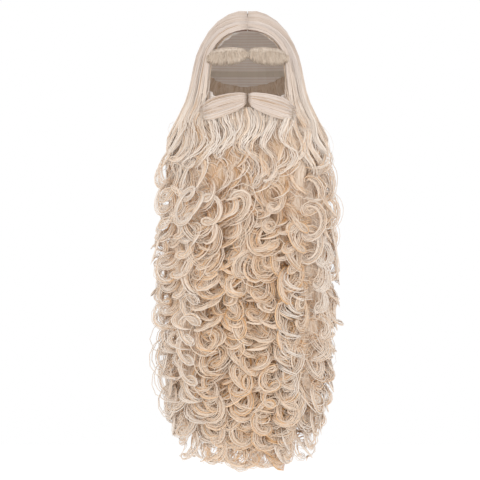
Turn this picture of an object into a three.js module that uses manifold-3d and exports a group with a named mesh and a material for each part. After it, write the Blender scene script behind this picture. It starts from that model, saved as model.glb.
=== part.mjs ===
// A long curly wig and beard set: a net cap under combed crown hair that falls into side and back
// locks, a curly beard on a chin net with its elastic band, a moustache in two wings, two eyebrows.
// Millimetres, +Z up, the face looks along -Y, and left is the wearer's left, +X.
// The origin is the inside of the cap at its highest point, where it sits on the head.
import * as THREE from "three";
import { mergeVertices } from "three/addons/utils/BufferGeometryUtils.js";
import Module from "manifold-3d";

const wasm = await Module();
wasm.setup();

// Head and cap
const HEAD_WIDTH = 156;
const HEAD_DEPTH = 198;
const CROWN_HEIGHT = 105; // from the vertex down to where the head is widest
const CAP_WALL = 2;
const FIT_GAP = 0.3; // between pieces that rest on each other
const WALL_GAP_DEGREES = 0.4; // between neighbouring walls of hanging locks
const HAIRLINE_SHOW = 2; // strip of the cap that shows below the front hair

// Hair outline
const SIDE_HAIR_THICKNESS = 91.7; // how far the hair stands out beside the cap at its widest
const FRONT_HAIR_THICKNESS = 40.7; // how far the beard stands out in front of the cap
const BACK_HAIR_THICKNESS = 18.7;
const TOP_RISE = 7.6; // hair above the inside of the cap
const CROWN_EDGE_DROP = 190; // where combed hair turns into curls
const BEARD_TOP_DROP = 180; // just under the lower lip
const BEARD_DROP = 854;
const WIG_DROP = 836;

// Lock relief
const LOCK_RELIEF = 15; // depth of the grooves between hanging locks
const LOCK_SECTION = [1, 0.28, 0, 0.28]; // the groove across one lock, as shares of that depth
const CURL_SWING = 13; // how far a lock swings in and out as it waves
const WAVE_LENGTH = 118; // from one wave of a lock to the next
const WAVE_SWAY = 0.3; // how far it sways to either side, as a share of its width
const WAVE_LAG = 1.3; // radians from one lock's wave to its neighbour's
const TIP_ROUND = 0.035; // how much higher the grooves end than the locks
const COMB_RELIEF = 3.4; // depth of the grooves in the combed hair
const PARTING_DEPTH = 3;
const EDGE_THICKNESS = 6; // combed hair at the face

// Moustache, one wing
const WING_LENGTH = 87;
const WING_HEIGHT = 54; // from the top at the centre to the lowest tip
const WING_THICKNESS = 20;
const WING_TOP_DROP = 149;
const WING_FRONT = 113; // from the origin forward to the moustache at its centre
const WING_SWEEP = 14; // how far the tip lies behind the centre
const WING_GAP = 3; // between the wings at the centre
const WING_RELIEF = 1.3; // depth of the combed grooves along a wing

// Eyebrow, one side
const BROW_LENGTH = 74;
const BROW_HEIGHT = 33;
const BROW_THICKNESS = 15;
const BROW_TOP_DROP = 63;
const BROW_FRONT = 110;
const BROW_SWEEP = 43;
const BROW_GAP = 1.2;
const BROW_RELIEF = 1.1; // depth of the grooves between its tufts

// Chin net and elastic band
const NET_WALL = 2;
const NET_END_AZIMUTH = 80;
const NET_CHIN_DROP = 222; // lowest edge of the net, under the chin
const NET_EAR_DROP = 122; // upper edge of the net in front of the ears
const NET_EAR_HEIGHT = 20;
const BAND_WIDTH = 10;
const BAND_THICKNESS = 1.4;
const BAND_NAPE_DROP = 112; // middle of the band behind the head
const BAND_OVERLAP = 10; // degrees of the net's end that the band is sewn over

// Fineness of the meshes
const HOLLOW_SIDES = 32;
const DOME_RINGS = 6;
const WALL_ROWS = 27;
const MESH_TOLERANCE = 0.05;

// A level is 0 at the origin, 1 at the crown hair's lower edge and 2 at the beard's lowest tip.
// The hair's outline stands out from the cap by shares of the three hair thicknesses.
const OUTLINE = [
  { level: 0.0, width: 0.18, front: 0.14, back: 0.79, corner: 2.0 },
  { level: 0.32, width: 0.18, front: 0.14, back: 0.87, corner: 2.0 },
  { level: 0.553, width: 0.25, front: 0.09, back: 0.89, corner: 2.0 },
  { level: 0.763, width: 0.335, front: 0.02, back: 0.84, corner: 2.1 },
  { level: 1.0, width: 0.53, front: 0.07, back: 0.73, corner: 2.2 },
  { level: 1.045, width: 0.74, front: 0.29, back: 0.73, corner: 2.3 },
  { level: 1.1, width: 0.89, front: 0.61, back: 0.79, corner: 2.4 },
  { level: 1.226, width: 0.935, front: 0.9, back: 0.95, corner: 2.5 },
  { level: 1.361, width: 0.99, front: 1.0, back: 1.0, corner: 2.5 },
  { level: 1.527, width: 1.0, front: 0.98, back: 1.0, corner: 2.5 },
  { level: 1.678, width: 0.94, front: 0.85, back: 0.89, corner: 2.5 },
  { level: 1.768, width: 0.87, front: 0.75, back: 0.79, corner: 2.5 },
  { level: 1.873, width: 0.81, front: 0.58, back: 0.57, corner: 2.4 },
  { level: 1.941, width: 0.66, front: 0.36, back: 0.1, corner: 2.3 },
  { level: 2.0, width: 0.4, front: 0.09, back: -0.35, corner: 2.2 },
];

// The hollow for the head, neck and chest, as shares of half the cap's width and depth.
const HOLLOW = [
  { level: 0.553, width: 1.0, front: 1.0, back: 1.0, corner: 2.0 },
  { level: 0.763, width: 1.06, front: 0.95, back: 1.0, corner: 2.1 },
  { level: 1.0, width: 1.14, front: 0.905, back: 0.98, corner: 2.2 },
  { level: 1.1, width: 1.28, front: 0.83, back: 0.9, corner: 2.4 },
  { level: 1.2, width: 1.4, front: 0.79, back: 0.84, corner: 2.5 },
  { level: 1.5, width: 1.47, front: 0.785, back: 0.81, corner: 2.5 },
  { level: 1.8, width: 1.43, front: 0.77, back: 0.79, corner: 2.5 },
  { level: 2.1, width: 1.33, front: 0.74, back: 0.75, corner: 2.5 },
];

// Where the hanging hair is divided, in degrees round from the front.
const DIVISION = [
  { level: 0.9, beard: 52, back: 138 },
  { level: 1.0, beard: 51, back: 138 },
  { level: 1.1, beard: 44, back: 138 },
  { level: 1.25, beard: 40, back: 139 },
  { level: 1.6, beard: 39, back: 140 },
  { level: 2.0, beard: 41, back: 140 },
];

// The cap's lower edge: its drop as a share of CROWN_HEIGHT, by degrees round from the front.
const CAP_EDGE = [
  { azimuth: 0, drop: 0.33 },
  { azimuth: 16, drop: 0.36 },
  { azimuth: 32, drop: 0.47 },
  { azimuth: 48, drop: 0.66 },
  { azimuth: 62, drop: 0.92 },
  { azimuth: 80, drop: 1.13 },
  { azimuth: 100, drop: 1.1 },
  { azimuth: 125, drop: 1.1 },
  { azimuth: 150, drop: 1.22 },
  { azimuth: 180, drop: 1.3 },
];

// The crown hair's edge beside the face, from where it leaves the cap's edge: its drop as a share
// of CROWN_EDGE_DROP and its place as shares of half the head's width and depth.
const CHEEK_AZIMUTH = 48;
const CHEEK_EDGE = [
  { along: 0.5, drop: 0.37, out: 0.75, forward: 0.56 },
  { along: 0.62, drop: 0.5, out: 0.82, forward: 0.5 },
  { along: 0.75, drop: 0.66, out: 0.83, forward: 0.46 },
  { along: 0.88, drop: 0.83, out: 0.86, forward: 0.48 },
  { along: 1.0, drop: 1.0, out: 0.93, forward: 0.57 },
];

// How far each hanging lock reaches, as a share of its wall's length: the beard from the wearer's
// right, the sides from the front, and the back from the wearer's left.
const BEARD_TIPS = [0.95, 0.98, 1.0, 0.985, 0.955];
const SIDE_TIPS = [0.985, 0.965, 0.975, 0.96, 0.975, 0.985];
const BACK_TIPS = [0.975, 0.985, 1.0, 0.98, 0.975];

// A moustache wing from its centre out. Tops and bottoms are shares of WING_HEIGHT.
const WING = [
  { along: 0.0, top: 0.1, bottom: 0.38, thick: 0.45 },
  { along: 0.05, top: 0.02, bottom: 0.48, thick: 0.8 },
  { along: 0.18, top: 0.0, bottom: 0.6, thick: 1.0 },
  { along: 0.36, top: 0.01, bottom: 0.74, thick: 1.0 },
  { along: 0.54, top: 0.05, bottom: 0.86, thick: 1.0 },
  { along: 0.72, top: 0.13, bottom: 0.95, thick: 1.0 },
  { along: 0.87, top: 0.25, bottom: 1.0, thick: 0.95 },
  { along: 0.96, top: 0.42, bottom: 0.98, thick: 0.8 },
  { along: 1.0, top: 0.6, bottom: 0.92, thick: 0.6 },
];

// An eyebrow from its inner end out. Tops and bottoms are shares of BROW_HEIGHT.
const BROW = [
  { along: 0.0, top: 0.22, bottom: 0.56, thick: 0.55 },
  { along: 0.06, top: 0.1, bottom: 0.66, thick: 0.85 },
  { along: 0.2, top: 0.02, bottom: 0.8, thick: 1.0 },
  { along: 0.4, top: 0.0, bottom: 0.93, thick: 1.0 },
  { along: 0.6, top: 0.02, bottom: 1.0, thick: 1.0 },
  { along: 0.8, top: 0.1, bottom: 1.0, thick: 1.0 },
  { along: 0.93, top: 0.22, bottom: 0.92, thick: 0.9 },
  { along: 1.0, top: 0.4, bottom: 0.76, thick: 0.6 },
];

const { clamp, degToRad, lerp, radToDeg, smoothstep } = THREE.MathUtils;

// A table's column at a station, along a smooth curve through its rows.
function column(table, station, key, at) {
  const last = table.length - 1;
  let i = 0;
  while (i < last - 1 && at > table[i + 1][station]) i += 1;
  const [before, low, high, after] = [i - 1, i, i + 1, i + 2].map(
    (k) => table[clamp(k, 0, last)],
  );
  const step = high[station] - low[station];
  const t = clamp((at - low[station]) / step, 0, 1);
  const slope = (a, b) => ((b[key] - a[key]) / (b[station] - a[station])) * step;
  const leave = slope(before, high);
  const arrive = slope(low, after);
  return (
    (2 * t ** 3 - 3 * t ** 2 + 1) * low[key] +
    (t ** 3 - 2 * t ** 2 + t) * leave +
    (3 * t ** 2 - 2 * t ** 3) * high[key] +
    (t ** 3 - t ** 2) * arrive
  );
}

function levelOf(drop) {
  return drop < CROWN_EDGE_DROP
    ? drop / CROWN_EDGE_DROP
    : 1 + (drop - CROWN_EDGE_DROP) / (BEARD_DROP - CROWN_EDGE_DROP);
}

function dropOf(level) {
  return level < 1
    ? level * CROWN_EDGE_DROP
    : CROWN_EDGE_DROP + (level - 1) * (BEARD_DROP - CROWN_EDGE_DROP);
}

// Unit direction in plan, for degrees round from the front towards the wearer's left.
function heading(azimuth) {
  return new THREE.Vector2(Math.sin(degToRad(azimuth)), -Math.cos(degToRad(azimuth)));
}

// A point at a distance from the axis.
function pointAt(direction, reach, drop) {
  return new THREE.Vector3(direction.x * reach, direction.y * reach, -drop);
}

// Half width and depth over the cap, with the gap that hair keeps from it.
const OVER_CAP = {
  width: HEAD_WIDTH / 2 + CAP_WALL + FIT_GAP,
  depth: HEAD_DEPTH / 2 + CAP_WALL + FIT_GAP,
};

function outlineSection(level, toFront) {
  const at = (key) => column(OUTLINE, "level", key, level);
  const front = FRONT_HAIR_THICKNESS * at("front");
  const back = BACK_HAIR_THICKNESS * at("back");
  return {
    width: OVER_CAP.width + SIDE_HAIR_THICKNESS * at("width"),
    depth: OVER_CAP.depth + (toFront ? front : back),
    corner: at("corner"),
  };
}

function hollowSection(level, toFront) {
  const at = (key) => column(HOLLOW, "level", key, level);
  return {
    width: OVER_CAP.width * at("width"),
    depth: OVER_CAP.depth * at(toFront ? "front" : "back"),
    corner: at("corner"),
  };
}

// Distance from the axis out to a section, in a plan direction.
function reachOf(section, direction, drop) {
  const { width, depth, corner } = section(levelOf(drop), direction.y < 0);
  return (
    (Math.abs(direction.x / width) ** corner + Math.abs(direction.y / depth) ** corner) **
    (-1 / corner)
  );
}

// Distance from the middle of the head out to the head's surface grown by a thickness.
function domeReach(direction, grow) {
  return (
    1 /
    Math.hypot(
      direction.x / (HEAD_WIDTH / 2 + grow),
      direction.y / (HEAD_DEPTH / 2 + grow),
      direction.z / (CROWN_HEIGHT + grow),
    )
  );
}

// Faces between neighbouring loops of equally many points.
function stripFaces(loops) {
  const count = loops[0].length;
  const faces = [];
  for (let row = 0; row < loops.length - 1; row += 1) {
    for (let k = 0; k < count; k += 1) {
      const here = row * count + k;
      const next = row * count + ((k + 1) % count);
      faces.push([here, next, next + count], [here, next + count, here + count]);
    }
  }
  return faces;
}

// Faces that fill a loop, zipped up between its first and its last point.
function fillFaces(loop) {
  const faces = [];
  let low = 0;
  let high = loop.length - 1;
  while (high - low > 1) {
    const fromLow = loop[low + 1].distanceTo(loop[high]);
    const fromHigh = loop[low].distanceTo(loop[high - 1]);
    if (fromLow < fromHigh) {
      faces.push([low, low + 1, high]);
      low += 1;
    } else {
      faces.push([low, high - 1, high]);
      high -= 1;
    }
  }
  return faces;
}

// A closed solid through loops of equally many points, with its first and last loop filled.
function loftSolid(loops) {
  const faces = stripFaces(loops);
  const lastStart = (loops.length - 1) * loops[0].length;
  faces.push(...fillFaces(loops[0]).map((face) => face.reverse()));
  faces.push(...fillFaces(loops.at(-1)).map((face) => face.map((k) => k + lastStart)));
  return solidOf(loops, faces);
}

// A closed solid through loops that come round to the first again.
function ringSolid(loops) {
  return solidOf(loops, stripFaces([...loops, loops[0]]));
}

function solidOf(loops, faces) {
  const geometry = new THREE.BufferGeometry().setFromPoints(loops.flat());
  const count = loops.flat().length;
  geometry.setIndex(faces.flat().map((k) => k % count));
  const merged = mergeVertices(geometry, 1e-4);
  const index = [...merged.index.array];
  const kept = (turned) => {
    const triVerts = [];
    for (let i = 0; i < index.length; i += 3) {
      const [a, b, c] = index.slice(i, i + 3);
      if (a !== b && b !== c && a !== c) triVerts.push(...(turned ? [c, b, a] : [a, b, c]));
    }
    return new wasm.Manifold(
      new wasm.Mesh({
        numProp: 3,
        vertProperties: merged.attributes.position.array,
        triVerts: new Uint32Array(triVerts),
      }),
    );
  };
  const solid = kept(false);
  return solid.volume() > 0 ? solid : kept(true);
}

function geometryOf(solid) {
  const mesh = solid.getMesh();
  const geometry = new THREE.BufferGeometry();
  geometry.setAttribute("position", new THREE.BufferAttribute(mesh.vertProperties, 3));
  geometry.setIndex(new THREE.BufferAttribute(mesh.triVerts, 1));
  geometry.computeVertexNormals();
  return geometry;
}

// The space inside the hair as a solid: the head's dome grown by a thickness, and the hollow for
// neck and chest below it, down to a level. At the cap's wall and gap it is what hair is cut by.
function hollowSolid(grow, deepest) {
  const azimuths = Array.from({ length: HOLLOW_SIDES }, (_, k) => (360 * k) / HOLLOW_SIDES);
  const rings = [];
  for (let ring = 0; ring <= DOME_RINGS; ring += 1) {
    const fall = degToRad(lerp(2, 90, ring / DOME_RINGS));
    rings.push(
      azimuths.map((azimuth) => {
        const plan = heading(azimuth).multiplyScalar(Math.sin(fall));
        const direction = new THREE.Vector3(plan.x, plan.y, Math.cos(fall));
        const reach = domeReach(direction, grow);
        return direction.multiplyScalar(reach).add(headMiddle());
      }),
    );
  }
  const inset = grow - CAP_WALL - FIT_GAP;
  for (const { level } of HOLLOW.slice(1)) {
    if (level > deepest) break;
    const drop = dropOf(level);
    rings.push(
      azimuths.map((azimuth) => {
        const direction = heading(azimuth);
        return pointAt(direction, reachOf(hollowSection, direction, drop) + inset, drop);
      }),
    );
  }
  return loftSolid(rings);
}

function headMiddle() {
  return new THREE.Vector3(0, 0, -CROWN_HEIGHT);
}

function capEdgeDrop(azimuth) {
  return CROWN_HEIGHT * column(CAP_EDGE, "azimuth", "drop", Math.abs(azimuth));
}

// A strip round the head between two drops that follow the azimuth, cutting through its wall.
function roundStrip(from, to, steps, dropsAt) {
  const inside = 0.25 * HEAD_WIDTH;
  const outside = HEAD_DEPTH;
  const whole = to - from === 360;
  const loops = [];
  for (let k = 0; k < (whole ? steps : steps + 1); k += 1) {
    const azimuth = lerp(from, to, k / steps);
    const direction = heading(azimuth);
    const { top, bottom } = dropsAt(azimuth);
    loops.push([
      pointAt(direction, inside, top),
      pointAt(direction, outside, top),
      pointAt(direction, outside, bottom),
      pointAt(direction, inside, bottom),
    ]);
  }
  return whole ? ringSolid(loops) : loftSolid(loops);
}

function buildCap() {
  const deepest = 1;
  const below = roundStrip(-180, 180, HOLLOW_SIDES, (azimuth) => ({
    top: capEdgeDrop(azimuth),
    bottom: 2 * CROWN_EDGE_DROP,
  }));
  return hollowSolid(CAP_WALL, deepest).subtract(hollowSolid(0, deepest)).subtract(below);
}

// A point of the crown hair's edge at the face, from the parting at 0 down to 1.
function faceEdge(down) {
  if (down < CHEEK_EDGE[0].along) {
    const azimuth = (CHEEK_AZIMUTH * down) / CHEEK_EDGE[0].along;
    const direction = heading(azimuth);
    const drop = capEdgeDrop(azimuth) - HAIRLINE_SHOW;
    const reach =
      Math.sqrt(1 - (1 - drop / CROWN_HEIGHT) ** 2) /
      Math.hypot(direction.x / (HEAD_WIDTH / 2), direction.y / (HEAD_DEPTH / 2));
    return pointAt(direction, reach, drop);
  }
  const at = (key) => column(CHEEK_EDGE, "along", key, down);
  return new THREE.Vector3(
    (HEAD_WIDTH / 2) * at("out"),
    (-HEAD_DEPTH / 2) * at("forward"),
    -CROWN_EDGE_DROP * at("drop"),
  );
}

// A point of the parting, from the front hair line at 0 to just behind the crown at 1.
function parting(along) {
  const y = lerp(faceEdge(0).y, 0.24 * HEAD_DEPTH, along);
  const rise = Math.sqrt(1 - (y / (HEAD_DEPTH / 2)) ** 2);
  return new THREE.Vector3(0, y, -CROWN_HEIGHT * (1 - rise));
}

// A point down the middle of the back of the head.
function backSeam(down) {
  const start = parting(1);
  const drop = lerp(-start.z, CROWN_EDGE_DROP, down ** 1.3);
  const above = Math.max(0, 1 - drop / CROWN_HEIGHT);
  const reach = reachOf(outlineSection, heading(180), drop) * Math.sqrt(1 - above ** 2);
  return new THREE.Vector3(0, reach, -drop);
}

// A point of the crown hair's lower edge, from the cheek at 0 round to the back at 1.
function crownEdge(across) {
  const end = faceEdge(1);
  const start = radToDeg(Math.atan2(end.x, -end.y));
  const direction = heading(lerp(start, 180, across));
  const reach = reachOf(outlineSection, direction, CROWN_EDGE_DROP);
  return pointAt(direction, reach, CROWN_EDGE_DROP);
}

// A rough point of one half of the crown hair, from the face back and from the parting down.
function crownGuide(across, down) {
  const patch = new THREE.Vector3()
    .addScaledVector(faceEdge(down), 1 - across)
    .addScaledVector(backSeam(down), across)
    .addScaledVector(parting(across), 1 - down)
    .addScaledVector(crownEdge(across), down);
  return patch
    .addScaledVector(faceEdge(0), -(1 - across) * (1 - down))
    .addScaledVector(parting(1), -across * (1 - down))
    .addScaledVector(crownEdge(0), -(1 - across) * down)
    .addScaledVector(crownEdge(1), -across * down);
}

// A guide point moved to the hair's surface, share 1, or to the hollow under it, share 0.
function crownPoint(guide, share, lift) {
  const drop = -guide.z;
  if (drop >= CROWN_HEIGHT) {
    const direction = new THREE.Vector2(guide.x, guide.y).normalize();
    const inner = reachOf(hollowSection, direction, drop);
    const outer = reachOf(outlineSection, direction, drop);
    return pointAt(direction, lerp(inner, outer, share) + lift, drop);
  }
  const direction = guide.clone().sub(headMiddle()).normalize();
  const { width, depth } = outlineSection(levelOf(Math.max(drop, 0)), direction.y < 0);
  const outer =
    1 /
    Math.hypot(
      direction.x / width,
      direction.y / depth,
      direction.z / (CROWN_HEIGHT + TOP_RISE),
    );
  const reach = lerp(domeReach(direction, CAP_WALL + FIT_GAP), outer, share) + lift;
  return direction.multiplyScalar(reach).add(headMiddle());
}

// One half of the combed hair over the head, from the parting down to the curls.
function buildCrownHair(side, hollow) {
  const steps = 18;
  const rows = 11;
  const innerRows = 5;
  const embed = -6;
  const loops = [];
  for (let k = 0; k <= steps; k += 1) {
    const across = k / steps;
    const loop = [];
    for (let row = 0; row <= rows; row += 1) {
      const down = row / rows;
      const sway = 0.012 * Math.sin(9 * down + 5 * across) * Math.sin(Math.PI * across);
      const body = smoothstep(across, -0.06, 0.16) * smoothstep(down, -0.55, 0.3);
      const comb = k % 2 === 1 ? -COMB_RELIEF * smoothstep(down, 0, 0.6) : 0;
      const groove = row === 0 ? -PARTING_DEPTH : 0;
      const lift = EDGE_THICKNESS * (1 - body) + comb + groove;
      loop.push(crownPoint(crownGuide(across + sway, down), body, lift));
    }
    for (let row = innerRows; row >= 0; row -= 1) {
      loop.push(crownPoint(crownGuide(across, row / innerRows), 0, embed));
    }
    for (const p of loop) p.x = side * Math.max(p.x, FIT_GAP / 2);
    loops.push(loop);
  }
  return loftSolid(loops).subtract(hollow);
}

// A hanging wall of locks between two azimuths, cut back to the hollow.
function buildLockWall({ edges, topDrop, endDrop, tips, phase, hollow }) {
  const columns = LOCK_SECTION.length * tips.length;
  const length = endDrop - topDrop;
  const embed = -5;
  const loops = [];
  for (let row = 0; row < WALL_ROWS; row += 1) {
    const v = row / (WALL_ROWS - 1);
    const loose = smoothstep(v, 0, 0.2);
    const thin = smoothstep(v, 0.86, 1);
    const place = (u, drop, share, lift) => {
      const [from, to] = edges(levelOf(drop));
      const direction = heading(lerp(from, to, u));
      const inner = reachOf(hollowSection, direction, drop);
      const outer = reachOf(outlineSection, direction, drop);
      return pointAt(direction, lerp(inner, outer, share) + lift, drop);
    };
    const loop = [];
    for (let k = 0; k <= columns; k += 1) {
      const u = k / columns;
      const groove = LOCK_SECTION[k % LOCK_SECTION.length];
      const coil = (2 * Math.PI * length * v) / WAVE_LENGTH + phase + WAVE_LAG * tips.length * u;
      const sway = (loose * WAVE_SWAY * Math.sin(Math.PI * u) * Math.sin(coil)) / tips.length;
      const swing = (loose * CURL_SWING * (Math.cos(coil) - 1)) / 2;
      const relief = groove * LOCK_RELIEF * lerp(0.25, 1, loose) * lerp(1, 0.4, thin);
      const reach = tipAt(tips, u) - TIP_ROUND * groove;
      const drop = topDrop + v * length * lerp(1, reach, v);
      loop.push(place(u + sway, drop, lerp(1, 0.72, thin), swing - relief));
    }
    for (let k = tips.length; k >= 0; k -= 1) {
      const drop = topDrop + v * length * lerp(1, 0.94, v);
      loop.push(place(k / tips.length, drop, lerp(0, 0.3, thin), embed * (1 - thin)));
    }
    loops.push(loop);
  }
  return loftSolid(loops).subtract(hollow);
}

// How far the lock at a place across its wall reaches.
function tipAt(tips, u) {
  return tips[clamp(Math.floor(u * tips.length), 0, tips.length - 1)];
}

// A division of the hanging hair at a level, half a gap to the side that a wall lies on.
function division(key, level, towards) {
  return column(DIVISION, "level", key, level) + (towards * WALL_GAP_DEGREES) / 2;
}

// A piece cut back where it lies on its neighbours, with a gap in one direction. Crumbs that the
// cut leaves are dropped.
function seatOn(piece, neighbours, towards) {
  const move = towards.map((share) => 1.3 * FIT_GAP * share);
  const cut = neighbours.reduce(
    (left, other) => left.subtract(other).subtract(other.translate(move)),
    piece,
  );
  return cut.decompose().reduce((big, one) => (one.volume() > big.volume() ? one : big));
}

function buildSideLocks(side, hollow, beard) {
  const wall = buildLockWall({
    edges: (level) => [side * division("beard", level, 1), side * division("back", level, -1)],
    topDrop: CROWN_EDGE_DROP + FIT_GAP,
    endDrop: WIG_DROP,
    tips: SIDE_TIPS,
    phase: side > 0 ? 0.4 : 1.7,
    hollow,
  });
  return seatOn(wall, [beard], [side, side, 0]);
}

function buildBackLocks(hollow, left, right) {
  const wall = buildLockWall({
    edges: (level) => [division("back", level, 1), 360 - division("back", level, 1)],
    topDrop: CROWN_EDGE_DROP + FIT_GAP,
    endDrop: WIG_DROP,
    tips: BACK_TIPS,
    phase: 2.6,
    hollow,
  });
  return seatOn(seatOn(wall, [left], [-0.8, 0.8, 0]), [right], [0.8, 0.8, 0]);
}

function buildBeardLocks(hollow) {
  return buildLockWall({
    edges: (level) => [-division("beard", level, -1), division("beard", level, -1)],
    topDrop: BEARD_TOP_DROP,
    endDrop: BEARD_DROP,
    tips: BEARD_TIPS,
    phase: 0,
    hollow,
  });
}

// The net under the beard, along the jaw from ear to ear.
function buildBeardNet() {
  const strip = roundStrip(-NET_END_AZIMUTH, NET_END_AZIMUTH, 14, (azimuth) => {
    const rise = (Math.abs(azimuth) / NET_END_AZIMUTH) ** 1.5;
    return {
      top: lerp(BEARD_TOP_DROP, NET_EAR_DROP, rise),
      bottom: lerp(NET_CHIN_DROP, NET_EAR_DROP + NET_EAR_HEIGHT, rise),
    };
  });
  const deepest = 1.2;
  return strip
    .intersect(hollowSolid(CAP_WALL, deepest))
    .subtract(hollowSolid(CAP_WALL - NET_WALL, deepest));
}

// The beard's elastic band, from the net's ends over the ears and round the back of the head.
function buildBand() {
  const start = NET_END_AZIMUTH - BAND_OVERLAP;
  const strip = roundStrip(start, 360 - start, 24, (azimuth) => {
    const round = Math.min(azimuth, 360 - azimuth);
    const sewn = NET_EAR_DROP + NET_EAR_HEIGHT / 2;
    const middle = lerp(sewn, BAND_NAPE_DROP, smoothstep(round, NET_END_AZIMUTH, 115));
    return { top: middle - BAND_WIDTH / 2, bottom: middle + BAND_WIDTH / 2 };
  });
  const deepest = 1;
  return strip
    .intersect(hollowSolid(-FIT_GAP, deepest))
    .subtract(hollowSolid(-FIT_GAP - BAND_THICKNESS, deepest));
}

// A tuft that lies across the face, through upright sections from its inner end out.
function buildTuft({ table, side, size, sections, points, ripple }) {
  const loops = [];
  for (let k = 0; k <= sections; k += 1) {
    const along = (1 - Math.cos((Math.PI * k) / sections)) / 2;
    const at = (key) => column(table, "along", key, along);
    const top = size.topDrop + size.height * at("top");
    const bottom = size.topDrop + size.height * at("bottom");
    const thick = size.thickness * at("thick");
    const front = size.front - size.sweep * along ** 2 - (size.thickness - thick) / 3;
    const loop = [];
    for (let n = 0; n < points; n += 1) {
      const turn = (2 * Math.PI * n) / points;
      const swell = 1 + (ripple(k, n) / size.thickness) * 2;
      const rise = Math.sin(turn) * (bottom - top) * 0.5;
      const forward = Math.sign(Math.cos(turn)) * Math.abs(Math.cos(turn)) ** 0.7 * thick * 0.5;
      loop.push(
        new THREE.Vector3(
          side * (size.gap / 2 + size.length * along),
          -(front - thick / 2) - forward * (forward > 0 ? swell : 1),
          rise - (top + bottom) / 2,
        ),
      );
    }
    loops.push(loop);
  }
  return loftSolid(loops);
}

function buildWing(side, behind) {
  const wing = buildTuft({
    table: WING,
    side,
    size: {
      length: WING_LENGTH,
      height: WING_HEIGHT,
      thickness: WING_THICKNESS,
      topDrop: WING_TOP_DROP,
      front: WING_FRONT,
      sweep: WING_SWEEP,
      gap: WING_GAP,
    },
    sections: 11,
    points: 14,
    ripple: (k, n) => (n % 2 ? -WING_RELIEF : 0),
  });
  return seatOn(wing, behind, [0, -1, 0]);
}

function buildBrow(side, behind) {
  const brow = buildTuft({
    table: BROW,
    side,
    size: {
      length: BROW_LENGTH,
      height: BROW_HEIGHT,
      thickness: BROW_THICKNESS,
      topDrop: BROW_TOP_DROP,
      front: BROW_FRONT,
      sweep: BROW_SWEEP,
      gap: BROW_GAP,
    },
    sections: 13,
    points: 10,
    ripple: (k) => (k % 2 ? -BROW_RELIEF : 0),
  });
  return seatOn(brow, behind, [0, -1, 0]);
}

const hairMaterial = new THREE.MeshStandardMaterial({
  color: 0xe6d3bb,
  roughness: 0.55,
  metalness: 0,
});
const browMaterial = new THREE.MeshStandardMaterial({
  color: 0xd3c2aa,
  roughness: 0.75,
  metalness: 0,
});
const netMaterial = new THREE.MeshStandardMaterial({
  color: 0x9a7f66,
  roughness: 0.85,
  metalness: 0,
});
const bandMaterial = new THREE.MeshStandardMaterial({
  color: 0xd9c9b4,
  roughness: 0.8,
  metalness: 0,
});

function meshOf(name, solid, material) {
  const mesh = new THREE.Mesh(geometryOf(solid.simplify(MESH_TOLERANCE)), material);
  mesh.name = name;
  return mesh;
}

const hollow = hollowSolid(CAP_WALL + FIT_GAP, HOLLOW.at(-1).level);
const crownLeft = buildCrownHair(1, hollow);
const crownRight = buildCrownHair(-1, hollow);
const beardLocks = buildBeardLocks(hollow);
const sideLeft = buildSideLocks(1, hollow, beardLocks);
const sideRight = buildSideLocks(-1, hollow, beardLocks);
const backLocks = buildBackLocks(hollow, sideLeft, sideRight);

const wig = new THREE.Group();
wig.add(
  meshOf("wig_cap", buildCap(), netMaterial),
  meshOf("crown_hair_left", crownLeft, hairMaterial),
  meshOf("crown_hair_right", crownRight, hairMaterial),
  meshOf("side_locks_left", sideLeft, hairMaterial),
  meshOf("side_locks_right", sideRight, hairMaterial),
  meshOf("back_locks", backLocks, hairMaterial),
);

const beard = new THREE.Group();
beard.add(
  meshOf("beard_net", buildBeardNet(), netMaterial),
  meshOf("beard_band", buildBand(), bandMaterial),
  meshOf("beard_locks", beardLocks, hairMaterial),
  meshOf("moustache_left", buildWing(1, [beardLocks, crownLeft, sideLeft]), hairMaterial),
  meshOf("moustache_right", buildWing(-1, [beardLocks, crownRight, sideRight]), hairMaterial),
);

const eyebrows = new THREE.Group();
eyebrows.add(
  meshOf("eyebrow_left", buildBrow(1, [crownLeft]), browMaterial),
  meshOf("eyebrow_right", buildBrow(-1, [crownRight]), browMaterial),
);

const set = new THREE.Group();
set.add(wig, beard, eyebrows);

export default set;
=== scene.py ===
"""The looks of a long curly wig and beard set, built round its CAD model in Blender.

Every strand is a thin closed tube whose path is worked out on the CAD hair's own surface.
A place on the hair is an azimuth, in degrees round from the face towards the wearer's left, a
level, 0 at the top of the head, 1 where the head is widest and 1 more for each 100 mm below that,
and a reach from the head's middle or, lower down, from the axis. Arrays have a row for each
strand and a column for each point along it. Lengths are in metres if nothing else is said.
"""

import bpy
import numpy as np
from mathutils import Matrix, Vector
from mathutils.bvhtree import BVHTree


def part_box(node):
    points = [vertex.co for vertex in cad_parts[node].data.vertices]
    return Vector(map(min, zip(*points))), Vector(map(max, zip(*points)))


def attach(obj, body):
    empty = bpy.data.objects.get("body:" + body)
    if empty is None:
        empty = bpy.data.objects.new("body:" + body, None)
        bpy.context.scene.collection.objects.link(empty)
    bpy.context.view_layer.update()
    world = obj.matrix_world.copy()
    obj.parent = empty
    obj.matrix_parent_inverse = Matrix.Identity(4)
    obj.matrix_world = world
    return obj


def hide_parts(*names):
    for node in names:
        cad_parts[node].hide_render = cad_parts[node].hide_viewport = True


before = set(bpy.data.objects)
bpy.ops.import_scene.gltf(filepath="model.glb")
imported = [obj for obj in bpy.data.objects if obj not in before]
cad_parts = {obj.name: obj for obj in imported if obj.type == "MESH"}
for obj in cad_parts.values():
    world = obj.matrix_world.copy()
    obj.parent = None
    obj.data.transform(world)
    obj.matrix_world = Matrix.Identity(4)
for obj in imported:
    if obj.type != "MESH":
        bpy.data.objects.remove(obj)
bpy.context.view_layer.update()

MM = 0.001
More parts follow.
